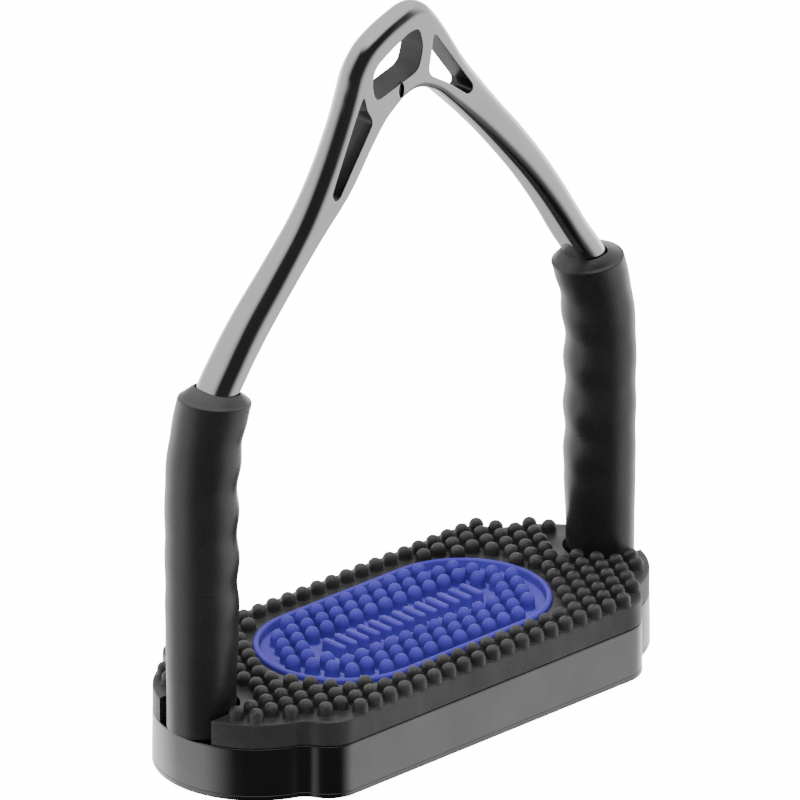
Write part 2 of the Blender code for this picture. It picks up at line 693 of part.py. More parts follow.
def make_sleeve(side, name):
    length = sleeve_length()
    steps = 28
    rounding = 0.9
    rings = []
    for i in range(steps + 1):
        height = rounding + (length - 2.0 * rounding) * i / steps
        rings.append(sleeve_ring(side, height, SLEEVE_RADIUS, SLEEVE_RADIUS, wave_at(height)))
    rings.insert(0, sleeve_ring(side, 0.0, SLEEVE_RADIUS - rounding, SLEEVE_RADIUS - rounding))
    rings.append(sleeve_ring(side, length, SLEEVE_RADIUS - rounding, SLEEVE_RADIUS - rounding))
    rings.append(sleeve_ring(side, length, LIP_HALF_X, LIP_HALF_Y, 0.0, LIP_POWER))
    rings.append(sleeve_ring(side, length - LIP, LIP_HALF_X, LIP_HALF_Y, 0.0, LIP_POWER))
    rings.append(sleeve_ring(side, length - LIP, SLEEVE_BORE, SLEEVE_BORE))
    for depth in (8.0, 14.0, 20.0):
        rings.append(sleeve_ring(side, length - depth, SLEEVE_BORE, SLEEVE_BORE))
    rings.append(sleeve_ring(side, SLEEVE_BEND_Z - SLEEVE_BOTTOM, SLEEVE_BORE, SLEEVE_BORE))
    rings.append(sleeve_ring(side, 0.0, SLEEVE_BORE, SLEEVE_BORE))
    mesh = bmesh.new()
    add_rings(mesh, rings, closed=True)
    add_object(name + "_sleeve", mesh, black_rubber(), (side * BRANCH_X, 0.0, LOWER_SWAY_Z))


# ---------- bow ----------

def bow_section(outer, inner, half_thickness, corner, arc_steps=3):
    """Rounded rectangle across the bow, from its inner to its outer edge."""
    mid = [(o + i) / 2.0 for o, i in zip(outer, inner)]
    half = hypot(outer[0] - inner[0], outer[1] - inner[1]) / 2.0
    unit = [(o - m) / half for o, m in zip(outer, mid)]
    round_off = min(corner, half * 0.96, half_thickness * 0.96)
    ring = []
    for quarter, (along, across) in enumerate(((1, 1), (-1, 1), (-1, -1), (1, -1))):
        start = quarter * pi / 2.0
        centre = (along * (half - round_off), across * (half_thickness - round_off))
        for a, b in arc(centre, round_off, start, start + pi / 2.0, arc_steps):
            ring.append((mid[0] + unit[0] * a, b, mid[1] + unit[1] * a))
    return ring


def make_bow():
    rows = [(*outer, *inner, half, corner) for outer, inner, half, corner in BOW_STATIONS]
    rings = []
    for row in spline(rows, 2):
        rings.append(bow_section(row[0:2], row[2:4], row[4], row[5]))
    mesh = bmesh.new()
    add_rings(mesh, rings)
    bow = add_object("bow", mesh, dark_chrome(), (-BRANCH_X, 0.0, UPPER_SWAY_Z))
    for side, name in ((-1, "left"), (1, "right")):
        x = side * BRANCH_X
        for hand in (-1, 1):
            levels = sorted((hand * CHEEK_INNER, hand * BOW_CHEEK_OUTER))
            outline = eye_outline((x, UPPER_SWAY_Z), BOW_CHEEK_RADIUS, CHEEK_REACH)
            cheek = prism("Y", outline, *levels)
            boolean(bow, "%s_bow_cheek_%d" % (name, hand), cheek, "UNION")
        bore = eye_bore("Y", (x, 0.0, UPPER_SWAY_Z), PIN_RADIUS + PRESS)
        boolean(bow, name + "_bow_bore", bore)
    openings = bmesh.new()
    for outline in (LEATHER_SLOT, LEFT_WINDOW, RIGHT_WINDOW):
        add_prism(openings, "Y", outline, -THROUGH / 2.0, THROUGH / 2.0)
    boolean(bow, "bow_openings", openings)
    mark = bmesh.new()
    oval = [(MARK_CENTRE[0] + MARK_HALF_LENGTH * a, MARK_CENTRE[1] + MARK_HALF_HEIGHT * b)
            for a, b in arc((0.0, 0.0), 1.0, 0.0, 2.0 * pi, 12)[:-1]]
    add_prism(mark, "Y", oval, -THROUGH / 2.0, MARK_DEPTH - HEAD_HALF_THICKNESS)
    boolean(bow, "bow_mark", mark)


def main():
    clear_scene()
    make_base_plate()
    make_frame()
    make_pad()
    make_pad_plate()
    make_insert()
    make_tread_screws()
    make_bow()
    for side, name in ((-1, "left"), (1, "right")):
        x = side * BRANCH_X
        make_post(side, name)
        make_post_screw(side, name)
        make_pin(name + "_tilt_pin", "X", (x, 0.0, TILT_Z), CHEEK_OUTER)
        make_knuckle(side, name)
        make_pin(name + "_lower_sway_pin", "Y", (x, 0.0, LOWER_SWAY_Z), SWAY_CHEEK_OUTER)
        make_link(side, name)
        make_bush(side, name)
        make_pin(name + "_upper_sway_pin", "Y", (x, 0.0, UPPER_SWAY_Z), BOW_CHEEK_OUTER)
        make_sleeve(side, name)


main()
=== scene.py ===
import json
from math import atan2, copysign, cos, hypot, pi, radians, sin, sqrt

import bmesh
import bpy
from mathutils import Matrix, Vector


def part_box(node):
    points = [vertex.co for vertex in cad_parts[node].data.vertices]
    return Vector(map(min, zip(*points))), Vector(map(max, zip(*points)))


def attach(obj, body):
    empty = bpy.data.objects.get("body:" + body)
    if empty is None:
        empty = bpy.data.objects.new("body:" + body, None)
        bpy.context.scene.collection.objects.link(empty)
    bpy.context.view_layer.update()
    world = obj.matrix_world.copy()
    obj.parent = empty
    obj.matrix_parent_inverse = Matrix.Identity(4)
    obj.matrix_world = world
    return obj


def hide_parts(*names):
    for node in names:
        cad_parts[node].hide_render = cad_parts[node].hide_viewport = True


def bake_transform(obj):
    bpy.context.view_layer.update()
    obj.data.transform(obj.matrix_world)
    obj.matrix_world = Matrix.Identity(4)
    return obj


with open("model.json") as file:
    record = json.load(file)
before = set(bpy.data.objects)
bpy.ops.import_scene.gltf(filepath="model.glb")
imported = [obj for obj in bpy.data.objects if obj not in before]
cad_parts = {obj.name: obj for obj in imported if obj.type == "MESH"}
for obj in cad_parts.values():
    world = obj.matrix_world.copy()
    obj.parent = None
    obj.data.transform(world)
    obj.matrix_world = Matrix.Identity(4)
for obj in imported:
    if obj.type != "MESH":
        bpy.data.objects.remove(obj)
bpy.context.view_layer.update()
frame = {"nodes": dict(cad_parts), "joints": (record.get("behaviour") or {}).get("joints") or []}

# The object's lengths are in millimetres and its meshes are turned into metres; the studio's
# lengths are in metres from the start.
MM = 0.001


def node_box(name):
    low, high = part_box(name)
    return [value / MM for value in low], [value / MM for value in high]


def joint_place(name):
    for joint in frame["joints"]:
        if joint["name"] == name:
            return [value / MM for value in joint["pos_m"]]
    raise ValueError(name)


FRAME_LOW, FRAME_HIGH = node_box("tread_frame")
PLATE_HIGH = node_box("base_plate")[1]
INSERT_LOW, INSERT_HIGH = node_box("pad_insert")
SLEEVE_LOW, SLEEVE_HIGH = node_box("right_sleeve")

TILT = joint_place("tilt_right")
LOWER_SWAY = joint_place("sway_right_lower")
UPPER_SWAY = joint_place("sway_left_upper")
BRANCH_X = TILT[0]

# Tread outline, as the design has it: straight edges with a round lobe at each end
BODY_HALF_WIDTH = FRAME_HIGH[1]
LOBE_RADIUS = 26.4
LOBE_X = FRAME_HIGH[0] - LOBE_RADIUS
CORNER_X = 48.7
CORNER_RADIUS = 9.5
STEP_RADIUS = 6.0
DRAFT = 0.2
FRAME_TOP = FRAME_HIGH[2]
PAD_TOP = 21.0
NOTCH_RADIUS = 9.85  # studs keep clear of this circle round each sleeve
SLEEVE_SEAT = 9.45   # the notch itself hugs the sleeve, whose foot doesn't turn
NOTCH_REACH = 20.0   # how far a notch runs out past its branch
THROUGH = 40.0       # a cutter of this height passes right through the pad
METAL_EDGE = 0.4
PAD_EDGE = 0.5
PAD_SEAM = 0.12      # shadow gap between the pad and the frame
PAD_FOOT_EDGE = 0.25
SCREW_SINK = ((-1.0, 3.1), (0.0, 3.1), (1.0, 1.9), (3.0, 1.9))   # height, radius

# Insert: a stadium let into the pad
INSERT_HALF_STRAIGHT = 20.8
INSERT_RADIUS = INSERT_HIGH[1]
INSERT_FLOOR = 19.9
INSERT_RIM = 1.6
RIM_TOP = 22.4
RIM_CROWN = 0.7
BAND_HALF_LENGTH = 29.0
BAND_HALF_WIDTH = 6.0
BAR_COUNT = 13
BAR_END_MARGIN = 3.0
BAR_REACH = 2.9
BAR_TOP = 3.3
BAR_PROFILE = ((1.3, -0.05), (1.12, 0.3), (1.05, BAR_TOP - 0.6), (0.9, BAR_TOP - 0.2),
               (0.5, BAR_TOP))                                    # half width, height

# Studs stand on a lattice of rows along X, every other row shifted by half a pitch
STUD_PITCH = 5.12
STUD_ROW = 4.55
STUD_RADIUS = 1.98
PAD_STUD_HEIGHT = 3.4
INSERT_STUD_HEIGHT = 4.4
PAD_LATTICE = (-31.0, 14, 1.7)       # first row, number of rows, phase along X
INSERT_LATTICE = (-18.4, 9, 2.3)
LATTICE_COLUMNS = 15                 # on each side of the middle one
INSERT_STUD_MARGIN = 2.4
PAD_STUD_MARGIN = 0.1

SLEEVE_RADIUS = 9.25
SLEEVE_BORE = 7.3
SLEEVE_BOTTOM = SLEEVE_LOW[2]
SLEEVE_BEND_Z = 76.3
SLEEVE_BEND_RADIUS = 76.0
SLEEVE_BEND = radians(20.5)
GRIP_WAVE = 0.36
GRIP_PITCH = 13.1
GRIP_CREST_Z = 60.8
GRIP_START_Z = 38.8
GRIP_RISE = 14.0
GRIP_FALL = 8.0
GRIP_TOP_MARGIN = 2.0
OUTER_SIDE_SHARE = 0.12   # share of the waves that the sleeve's outer side takes
WAVE_SPREAD = 0.9
RING_TILT = 0.37     # share of the sleeve's lean that its closed upper end takes
FOOT_WAIST = 0.7     # how much slimmer the sleeve's inner side is at its foot
WAIST_END_Z = 26.0
WAIST_FADE = 16.0
SLEEVE_ROUNDING = 0.5
SEAM_HAIRLINE = 0.03 # gap that keeps the stretches' end faces apart
BEND_START_BELOW_TILT = 8.0
BEND_GAP = 0.2       # height between the first seam and the spans on each side of it
BEND_END_BELOW_SEAM = 2.0
BEND_START_ABOVE_SEAM = 4.0
BEND_END_BELOW_TOP = 12.0
LIP_X = 4.05
LIP_Y = 5.95
LIP_DEPTH = 2.5
LID_CROWN = 2.4
# Lid rings from the rim inwards: height over the sleeve's end, half width, half depth, squareness
LID_RINGS = (
    (0.25 * LID_CROWN, 8.0, 8.2, 2.1),
    (0.9 * LID_CROWN, LIP_X + 0.9, LIP_Y + 0.7, 2.6),
    (LID_CROWN, LIP_X + 0.3, LIP_Y + 0.2, 2.8),
    (LID_CROWN - 0.3, LIP_X, LIP_Y, 2.8),
    (-LIP_DEPTH, LIP_X, LIP_Y, 2.8),
)

HEAD_HALF_THICKNESS = 3.9
OUTER_CORNER = 3.4   # least radius of the bow's outer corners, which are rounder than its inner ones
CORNER_SHARE = 0.96  # most of a section's half width that a corner may take
CORNER_STEPS = 7
BOW_STEPS = 8
BOW_CUT = 20.0       # half the length of a cutter through the bow
FORK_HALF_WIDTH = 3.5
FORK_TOP = 84.3
FORK_CHEEK = (3.1, 5.5)

# Bow: matching points on its outer and inner edges, left end to right end,
# with half the thickness there and the radius of the section's corners
BOW_STATIONS = [
    ((-73.3, 84.0), (-65.5, 83.6), 5.8, 2.5),
    ((-71.7, 93.7), (-63.9, 91.9), 5.8, 3.6),
    ((-68.4, 104.6), (-61.2, 101.4), 5.8, 3.7),
    ((-63.1, 112.8), (-56.9, 107.9), 5.7, 3.7),
    ((-56.0, 122.0), (-50.1, 116.2), 5.4, 3.7),
    ((-46.5, 132.3), (-40.7, 126.2), 5.0, 3.6),
    ((-37.3, 142.8), (-30.8, 136.3), 4.5, 3.2),
    ((-30.2, 153.9), (-20.9, 146.2), 4.1, 2.4),
    ((-24.6, 165.3), (-13.2, 157.0), HEAD_HALF_THICKNESS, 1.8),
    ((-21.7, 172.7), (-8.9, 162.3), HEAD_HALF_THICKNESS, 1.8),
    ((-19.4, 178.6), (-5.5, 165.1), HEAD_HALF_THICKNESS, 1.8),
    ((-15.2, 183.8), (-3.0, 166.8), HEAD_HALF_THICKNESS, 1.8),
    ((-9.6, 187.2), (-0.8, 167.7), HEAD_HALF_THICKNESS, 1.8),
    ((-4.2, 189.4), (1.0, 168.1), HEAD_HALF_THICKNESS, 1.8),
    ((0.6, 190.8), (2.6, 168.1), HEAD_HALF_THICKNESS, 1.8),
    ((4.6, 190.4), (4.2, 167.8), HEAD_HALF_THICKNESS, 1.8),
    ((7.8, 188.0), (6.2, 167.0), HEAD_HALF_THICKNESS, 1.8),
    ((12.0, 182.5), (9.9, 164.9), HEAD_HALF_THICKNESS, 1.8),
    ((18.8, 172.3), (13.6, 161.6), HEAD_HALF_THICKNESS, 1.8),
    ((25.4, 163.9), (18.6, 156.7), HEAD_HALF_THICKNESS, 2.2),
    ((32.2, 155.6), (25.2, 149.8), 4.1, 2.8),
    ((38.0, 148.8), (31.4, 142.8), 4.4, 3.2),
    ((44.8, 140.2), (38.2, 134.8), 4.8, 3.5),
    ((50.6, 132.1), (43.8, 127.6), 5.1, 3.6),
    ((55.9, 123.9), (49.2, 119.9), 5.4, 3.7),
    ((60.9, 115.7), (54.4, 111.9), 5.7, 3.7),
    ((68.4, 104.6), (61.2, 101.4), 5.8, 3.7),
    ((71.7, 93.7), (63.9, 91.9), 5.8, 3.6),
    ((73.3, 84.0), (65.5, 83.6), 5.8, 2.5),
]
LEATHER_SLOT = [(-13.2, 169.0), (1.6, 173.5), (3.3, 179.4), (1.9, 184.7), (-1.4, 184.6),
                (-7.2, 181.8), (-13.1, 178.4), (-14.4, 174.2)]
LEFT_WINDOW = [(-17.1, 172.0), (-18.9, 168.5), (-21.6, 162.6), (-24.6, 156.2), (-28.4, 148.0),
               (-27.3, 146.3), (-25.7, 146.8), (-16.1, 160.5), (-14.2, 163.4), (-14.6, 165.1),
               (-16.3, 167.8)]
RIGHT_WINDOW = [(6.9, 182.4), (6.0, 176.3), (5.1, 171.3), (12.2, 167.0), (18.7, 162.0),
                (20.5, 162.7), (20.4, 164.4), (13.6, 173.4)]
MARK_CENTRE = (-4.3, 169.7)
MARK_HALF_SIZE = (0.9, 2.0)
MARK_DEPTH = 0.6

# Noise scales of the materials, in cycles per metre, and the height of their relief in metres
METAL_CLOUDS = 60.0
METAL_WEAR = 240.0
TURNING_MARKS = 900.0
METAL_RELIEF = 0.0001
RUBBER_CLOUDS = 45.0
RUBBER_SCUFFS = 160.0
RUBBER_GRAIN = 2600.0
RUBBER_RELIEF = 0.0002

# Studio. Reflections see greys by how far a direction faces the dark wall, from away to towards.
WALL_AZIMUTH = -125.0
LOW_GREYS = [(0.0, 2.6), (0.14, 2.4), (0.36, 1.05), (0.7, 0.85), (0.85, 0.3), (0.92, 0.04),
             (1.0, 0.04)]
HIGH_GREYS = [(0.0, 1.0), (0.4, 0.9), (0.6, 0.5), (0.72, 0.15), (0.8, 0.03), (1.0, 0.03)]
HIGH_BAND = (-0.1, 0.25)      # heights over which the low greys give way to the high ones
STEEP_BAND = (-0.7, -0.45)    # heights below which reflections are dimmed
STEEP_SHARE = 0.3
OVERHEAD_BAND = (0.8, 0.95)
AMBIENT = (0.5, 0.5, 0.5, 1.0)
OVERHEAD = (1.0, 1.0, 1.0, 1.0)
FLOOR_HALF_SIDE = 4.0
FLOOR_DROP = 0.0002
FLOOR_GLOW = (0.3, 14.0)      # emission for other rays, and for what the camera sees

LIGHT_TARGET = (0.0, 0.0, 0.08)
LIGHTS = (
    ("top_softbox", (-0.3, -0.2, 1.6), (1.4, 1.4), 52.0),
    ("left_softbox", (-1.5, 0.35, 0.6), (0.8, 1.0), 8.0),
    ("right_softbox", (1.1, -1.1, 0.6), (0.8, 1.0), 8.0),
)

CAMERA_AZIMUTH = -43.7
CAMERA_ELEVATION = 23.6
CAMERA_DISTANCE = 3.78
CAMERA_AIM_Z = 0.1008
IMAGE_SIDE = 800.0
PIXELS_PER_METRE = 3974.0
SENSOR = 36.0
SHIFT_PIXELS = (-3.1, -65.6)


# ---------- mesh helpers ----------

def finish_mesh(name, mesh, mat, smooth_angle=40.0):
    """Object in metres from a bmesh in millimetres, smooth except across sharp edges."""
    bmesh.ops.recalc_face_normals(mesh, faces=mesh.faces)
    mesh.transform(Matrix.Scale(MM, 4))
    data = bpy.data.meshes.new(name)
    mesh.to_mesh(data)
    mesh.free()
    item = bpy.data.objects.new(name, data)
    bpy.context.collection.objects.link(item)
    data.materials.append(mat)
    shade(item, smooth_angle)
    return item


def shade(item, angle):
    item.data.shade_smooth()
    item.data.set_sharp_from_angle(angle=radians(angle))


def skin_loops(mesh, loops):
    """Quads between each closed loop of vertices and the next."""
    for first, second in zip(loops, loops[1:]):
        for i in range(len(first)):
            j = (i + 1) % len(first)
            mesh.faces.new((first[i], first[j], second[j], second[i]))


def add_rings(mesh, rings, closed=False):
    loops = [[mesh.verts.new(point) for point in ring] for ring in rings]
    skin_loops(mesh, loops + loops[:1] if closed else loops)
    if not closed:
        mesh.faces.new(loops[0][::-1])
        mesh.faces.new(loops[-1])


def arc(centre, radius, start, end, steps):
    points = []
    for i in range(steps + 1):
        turn = start + (end - start) * i / steps
        points.append((centre[0] + radius * cos(turn), centre[1] + radius * sin(turn)))
    return points


def circle(centre, radius, steps):
    return arc(centre, radius, 0.0, 2.0 * pi, steps)[:-1]


def spline(points, steps):
    """Smooth curve through the points, each a list of any values that vary along it."""
    padded = [points[0]] + list(points) + [points[-1]]
    curve = []
    for p0, p1, p2, p3 in zip(padded, padded[1:], padded[2:], padded[3:]):
        for k in range(steps):
            t = k / steps
            curve.append([0.5 * (2 * b + (c - a) * t + (2 * a - 5 * b + 4 * c - d) * t * t
                                 + (3 * b - a - 3 * c + d) * t ** 3)
                          for a, b, c, d in zip(p0, p1, p2, p3)])
    curve.append(list(points[-1]))
    return curve


def prism(outline, axis, low, high):
    mesh = bmesh.new()
    if axis == "Y":
        rings = [[(a, along, b) for a, b in outline] for along in (low, high)]
    else:
        rings = [[(a, b, along) for a, b in outline] for along in (low, high)]
    add_rings(mesh, rings)
    return mesh


def cut(target, name, mesh, wall=None):
    """Take a tool mesh away from the target for good; its walls may take a material of their own."""
    tool = finish_mesh(name, mesh, wall or target.data.materials[0])
    step = target.modifiers.new(name, "BOOLEAN")
    step.operation = "DIFFERENCE"
    step.solver = "EXACT"
    step.material_mode = "TRANSFER"
    step.object = tool
    apply_modifiers(target)
    bpy.data.objects.remove(tool, do_unlink=True)


def apply_modifiers(item):
    graph = bpy.context.evaluated_depsgraph_get()
    graph.update()
    result = bpy.data.meshes.new_from_object(item.evaluated_get(graph))
    item.modifiers.clear()
    item.data = result


def soften_edges(item, width, segments=2, angle=60.0):
    """Round the sharp edges, then weight the normals so that flat faces stay flat."""
    bevel = item.modifiers.new("soft_edges", "BEVEL")
    bevel.width = width * MM
    bevel.segments = segments
    bevel.limit_method = "ANGLE"
    bevel.angle_limit = radians(angle)
    bevel.use_clamp_overlap = True
    apply_modifiers(item)
    item.data.shade_smooth()
    normals = item.modifiers.new("weighted_normals", "WEIGHTED_NORMAL")
    normals.keep_sharp = False
    normals.weight = 60


# ---------- materials ----------

def new_material(name):
    mat = bpy.data.materials.new(name)
    mat.use_nodes = True
    nodes = mat.node_tree.nodes
    return mat, nodes, mat.node_tree.links, nodes["Principled BSDF"]


def object_noise(nodes, links, scale, detail=4.0, stretch=(1.0, 1.0, 1.0)):
    """Noise in the piece's own metres, so that its grain has a real size."""
    place = nodes.new("ShaderNodeTexCoord")
    mapping = nodes.new("ShaderNodeMapping")
    mapping.inputs["Scale"].default_value = stretch
    noise = nodes.new("ShaderNodeTexNoise")
    noise.inputs["Scale"].default_value = scale
    noise.inputs["Detail"].default_value = detail
    links.new(place.outputs["Object"], mapping.inputs["Vector"])
    links.new(mapping.outputs["Vector"], noise.inputs["Vector"])
    return noise


def spread(nodes, links, source, low, high, from_low=0.3, from_high=0.7):
    remap = nodes.new("ShaderNodeMapRange")
    remap.inputs["From Min"].default_value = from_low
    remap.inputs["From Max"].default_value = from_high
    remap.inputs["To Min"].default_value = low
    remap.inputs["To Max"].default_value = high
    links.new(source, remap.inputs["Value"])
    return remap.outputs["Result"]


def colour_between(nodes, links, source, first, second, start=0.3, end=0.7):
    ramp = nodes.new("ShaderNodeValToRGB")
    ramp.color_ramp.elements[0].position = start
    ramp.color_ramp.elements[0].color = (*first, 1.0)
    ramp.color_ramp.elements[1].position = end
    ramp.color_ramp.elements[1].color = (*second, 1.0)
    links.new(source, ramp.inputs["Fac"])
    return ramp.outputs["Color"]


def add_bump(nodes, links, shader, source, strength, distance, edge=0.0):
    """Fine relief; an edge radius also rounds the shading across sharp edges."""
    bump = nodes.new("ShaderNodeBump")
    if edge:
        soft = nodes.new("ShaderNodeBevel")
        soft.samples = 6
        soft.inputs["Radius"].default_value = edge * MM
        links.new(soft.outputs["Normal"], bump.inputs["Normal"])
    bump.inputs["Strength"].default_value = strength
    bump.inputs["Distance"].default_value = distance
    links.new(source, bump.inputs["Height"])
    links.new(bump.outputs["Normal"], shader.inputs["Normal"])


def metal(name, dark, light, rough_low, rough_high, grain, bump, edge=0.0):
    mat, nodes, links, shader = new_material(name)
    shader.inputs["Metallic"].default_value = 1.0
    clouds = object_noise(nodes, links, METAL_CLOUDS)
    links.new(colour_between(nodes, links, clouds.outputs["Fac"], dark, light),
              shader.inputs["Base Color"])
    wear = object_noise(nodes, links, METAL_WEAR, 6.0, (1.0, 1.0, 0.25))
    links.new(spread(nodes, links, wear.outputs["Fac"], rough_low, rough_high),
              shader.inputs["Roughness"])
    fine = object_noise(nodes, links, grain, 3.0)
    add_bump(nodes, links, shader, fine.outputs["Fac"], bump, METAL_RELIEF, edge)
    return mat


def rubber(name, dark, light, rough_low, rough_high, specular):
    mat, nodes, links, shader = new_material(name)
    shader.inputs["Specular IOR Level"].default_value = specular
    clouds = object_noise(nodes, links, RUBBER_CLOUDS, 5.0)
    links.new(colour_between(nodes, links, clouds.outputs["Fac"], dark, light),
              shader.inputs["Base Color"])
    scuff = object_noise(nodes, links, RUBBER_SCUFFS, 6.0, (1.0, 1.0, 0.4))
    links.new(spread(nodes, links, scuff.outputs["Fac"], rough_low, rough_high),
              shader.inputs["Roughness"])
    grain = object_noise(nodes, links, RUBBER_GRAIN, 4.0)
    add_bump(nodes, links, shader, grain.outputs["Fac"], 0.16, RUBBER_RELIEF)
    return mat


def brushed(name):
    """Bare steel with the fine marks of turning."""
    mat, nodes, links, shader = new_material(name)
    shader.inputs["Metallic"].default_value = 1.0
    turning = object_noise(nodes, links, TURNING_MARKS, 3.0, (0.1, 0.1, 6.0))
    links.new(colour_between(nodes, links, turning.outputs["Fac"],
                             (0.42, 0.42, 0.43), (0.62, 0.62, 0.63)),
              shader.inputs["Base Color"])
    links.new(spread(nodes, links, turning.outputs["Fac"], 0.22, 0.4),
              shader.inputs["Roughness"])
    add_bump(nodes, links, shader, turning.outputs["Fac"], 0.1, METAL_RELIEF)
    return mat


POLISHED = metal("polished_bow_steel", (0.6, 0.6, 0.61), (0.66, 0.66, 0.67), 0.08, 0.14, 900.0,
                 0.02, 0.5)
# The tread's metal is a much darker copy of the bow's: painted shade for the darker reflections low
# down by the floor.
TREAD_METAL_PAINTED_SHADE = metal("tread_metal_painted_shade", (0.19, 0.191, 0.194), (0.22, 0.221, 0.224), 0.16, 0.24, 1400.0,
                 0.04)
JOINT_STEEL = metal("joint_steel", (0.3, 0.3, 0.31), (0.4, 0.4, 0.41), 0.25, 0.4, 1100.0, 0.08)
PIN_STEEL = brushed("turned_pin_steel")
# Near-black copy of the bow's metal for the walls of its openings and mark: painted shade in those
# recesses.
PAINTED_SHADE_WALL = metal("painted_shade_window_wall", (0.06, 0.06, 0.062), (0.1, 0.1, 0.102), 0.22, 0.34, 1200.0,
                  0.1, 0.5)
SLEEVE_RUBBER = rubber("sleeve_rubber", (0.007, 0.007, 0.007), (0.011, 0.011, 0.011), 0.3, 0.4, 1.0)
PAD_RUBBER = rubber("pad_rubber", (0.011, 0.011, 0.011), (0.024, 0.024, 0.024), 0.38, 0.56, 0.9)
BLUE_RUBBER = rubber("insert_rubber", (0.04, 0.03, 0.27), (0.055, 0.042, 0.34), 0.38, 0.52, 0.3)


# ---------- tread outline ----------

def step_centre():
    """Centre of the hollow that touches both the corner arc and the lobe from outside."""
    corner = (CORNER_X, -BODY_HALF_WIDTH + CORNER_RADIUS)
    gap_x = corner[0] - LOBE_X
    gap_y = corner[1]
    gap = hypot(gap_x, gap_y)
    from_lobe = LOBE_RADIUS + STEP_RADIUS
    from_corner = CORNER_RADIUS + STEP_RADIUS
    along = (gap ** 2 + from_lobe ** 2 - from_corner ** 2) / (2.0 * gap)
    across = sqrt(from_lobe ** 2 - along ** 2)
    unit = (gap_x / gap, gap_y / gap)
    return (LOBE_X + unit[0] * along - unit[1] * across, unit[1] * along + unit[0] * across)


def front_edge(inset):
    """Front half of the right side, from the middle of the front edge to the right tip."""
    corner = (CORNER_X, -BODY_HALF_WIDTH + CORNER_RADIUS)
    hollow = step_centre()
    to_hollow = atan2(hollow[1] - corner[1], hollow[0] - corner[0])
    lobe_start = atan2(hollow[1], hollow[0] - LOBE_X)
    points = [(6.0 * i, -BODY_HALF_WIDTH + inset) for i in range(1, 9)]
    points += arc(corner, CORNER_RADIUS - inset, -pi / 2.0, to_hollow, 14)
    points += arc(hollow, STEP_RADIUS + inset, to_hollow + pi, lobe_start + pi, 8)[1:-1]
    points += arc((LOBE_X, 0.0), LOBE_RADIUS - inset, lobe_start, 0.0, 40)
    return points


def tread_loop(inset):
    right = front_edge(inset)
    front = [(-x, y) for x, y in reversed(right)] + right
    back = [(x, -y) for x, y in reversed(front[1:-1])]
    return front + back


def tread_solid(levels):
    """Solid between levels of (inset, height), with caps made of straight strips."""
    mesh = bmesh.new()
    loops = []
    for inset, height in levels:
        loops.append([mesh.verts.new((x, y, height)) for x, y in tread_loop(inset)])
    skin_loops(mesh, loops)
    count = len(loops[0])
    for loop in (loops[0], loops[-1]):
        for i in range(count // 2):
            strip = [loop[i], loop[i + 1], loop[-i - 1], loop[-i]]
            if i == 0:
                strip = [loop[0], loop[1], loop[-1]]
            if i == count // 2 - 1:
                strip = [loop[i], loop[i + 1], loop[-i]]
            mesh.faces.new(strip)
    return mesh


def rounded_levels(edge, top, radius, steps=4):
    """Levels that turn a vertical side over into a flat top with a small radius."""
    levels = []
    for i in range(steps + 1):
        turn = pi / 2.0 * i / steps
        levels.append((edge + radius * (1.0 - cos(turn)), top - radius * (1.0 - sin(turn))))
    return levels


def stadium(radius, steps=48):
    right = arc((INSERT_HALF_STRAIGHT, 0.0), radius, -pi / 2.0, pi / 2.0, steps)
    left = arc((-INSERT_HALF_STRAIGHT, 0.0), radius, pi / 2.0, 3.0 * pi / 2.0, steps)
    return right + left


def depth_in_insert(x, y):
    """How far a point lies inside the insert's outline; negative outside it."""
    return INSERT_RADIUS - hypot(max(abs(x) - INSERT_HALF_STRAIGHT, 0.0), y)


def depth_in_tread(x, y):
    """How far a point lies inside the tread's outline; negative outside it."""
    lobe = LOBE_RADIUS - hypot(abs(x) - LOBE_X, y)
    over_x = max(abs(x) - CORNER_X, 0.0)
    over_y = max(abs(y) - BODY_HALF_WIDTH + CORNER_RADIUS, 0.0)
    return max(lobe, CORNER_RADIUS - hypot(over_x, over_y))


# ---------- tread ----------

def make_frame_body():
    levels = [(0.0, FRAME_LOW[2])] + rounded_levels(DRAFT, FRAME_TOP, METAL_EDGE)
    item = finish_mesh("tread_frame_body", tread_solid(levels), TREAD_METAL_PAINTED_SHADE)
    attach(item, "tread")
    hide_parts("tread_frame")


def make_base_body():
    top = PLATE_HIGH[2]
    levels = [(METAL_EDGE, 0.0)]
    for i in range(1, 5):
        turn = pi / 2.0 * i / 4
        levels.append((METAL_EDGE * (1.0 - sin(turn)), METAL_EDGE * (1.0 - cos(turn))))
    levels += [(0.0, top - 0.2), (0.2, top)]
    item = finish_mesh("base_plate_body", tread_solid(levels), TREAD_METAL_PAINTED_SHADE)
    holes = bmesh.new()
    for number in range(1, 7):
        low, high = node_box("base_screw_%d" % number)
        centre = ((low[0] + high[0]) / 2.0, (low[1] + high[1]) / 2.0)
        rings = []
        for height, radius in SCREW_SINK:
            rings.append([(x, y, height) for x, y in circle(centre, radius, 32)])
        add_rings(holes, rings)
    cut(item, "base_holes", holes)
    shade(item, 35.0)
    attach(item, "tread")
    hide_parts("base_plate")


def add_stud(mesh, x, y, base, height, sides=20):
    """Egg-shaped stud with a small fillet where it leaves the pad."""
    profile = [(STUD_RADIUS + 0.3, -0.05), (STUD_RADIUS + 0.1, 0.12), (STUD_RADIUS, 0.4)]
    shoulder = 0.4 * height
    for i in range(7):
        turn = pi / 2.0 * i / 7
        profile.append((STUD_RADIUS * cos(turn) ** 0.9, shoulder + (height - shoulder) * sin(turn)))
    loops = []
    for radius, z in profile:
        loops.append([mesh.verts.new((a, b, base + z)) for a, b in circle((x, y), radius, sides)])
    skin_loops(mesh, loops)
    tip = mesh.verts.new((x, y, base + height))
    for k in range(sides):
        mesh.faces.new((loops[-1][k], loops[-1][(k + 1) % sides], tip))
    mesh.faces.new(loops[0][::-1])


